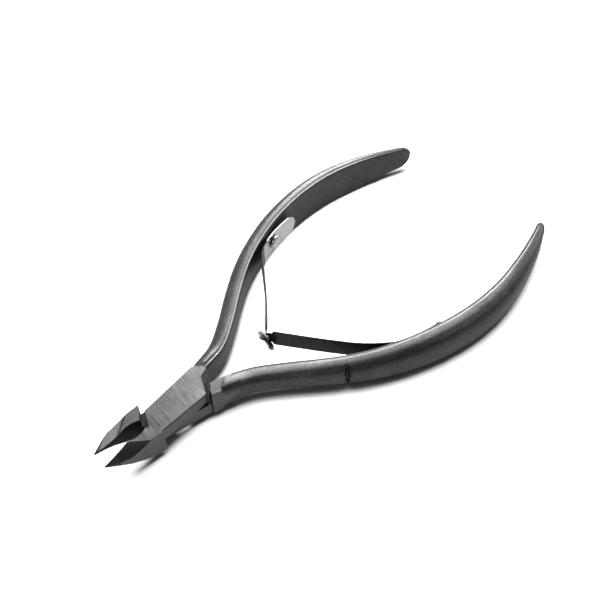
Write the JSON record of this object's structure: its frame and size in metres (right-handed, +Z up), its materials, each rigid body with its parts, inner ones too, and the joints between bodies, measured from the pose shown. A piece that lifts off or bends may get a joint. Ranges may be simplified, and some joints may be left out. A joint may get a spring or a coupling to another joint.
{
  "type": "cuticle nipper",
  "caption": "Cuticle nipper with a riveted lap joint, pointed hollow-ground jaws, bowed half-round handles and a double leaf spring that opens them.",
  "frame": {"origin": "middle of the footprint at rest, on the surface that the nipper lies on", "axes": "+X along the length from the jaws to the handle ends, +Y towards the left handle (the far one in the picture), +Z up, square to the flat of the lap joint"},
  "size_m": [0.1118, 0.0598, 0.0094],
  "materials": {
    "satin_steel": "fine satin blast on the handles, straight brushing on the lap joint, polished hollow grind on the jaws",
    "ground_steel": "ground flush with the lap joint and brushed with it",
    "polished_spring_steel": "bright rolled strip with faint scratches along its length",
    "stud_steel": "bright turned head"
  },
  "bodies": {
    "lower_lever": {"lower_lever": "satin_steel", "pivot_rivet": "ground_steel", "right_spring_foot": "polished_spring_steel", "right_spring_stud": "stud_steel"},
    "upper_lever": {"upper_lever": "satin_steel", "left_spring_foot": "polished_spring_steel", "left_spring_stud": "stud_steel"},
    "left_leaf": {"left_spring_leg": "polished_spring_steel"},
    "right_leaf": {"right_spring_leg": "polished_spring_steel"}
  },
  "joints": [
    {"name": "jaw_pivot", "type": "hinge", "parent": "lower_lever", "child": "upper_lever", "pos_m": [-0.03846, 0, 0.00469], "axis": [0, 0, -1], "range_deg": [0, 10.6], "stiffness_Nm_per_rad": 1.5},
    {"name": "left_leaf_bend", "type": "hinge", "parent": "upper_lever", "child": "left_leaf", "pos_m": [0.00092, 0.01886, 0.00469], "axis": [0, 0, -1], "range_deg": [0, 8.5]},
    {"name": "right_leaf_bend", "type": "hinge", "parent": "lower_lever", "child": "right_leaf", "pos_m": [0.00092, -0.01886, 0.00469], "axis": [0, 0, 1], "range_deg": [0, 6.7]}
  ],
  "couplings": [
    {"joint": "left_leaf_bend", "follows": "jaw_pivot", "ratio": 0.8},
    {"joint": "right_leaf_bend", "follows": "jaw_pivot", "ratio": 0.63}
  ]
}
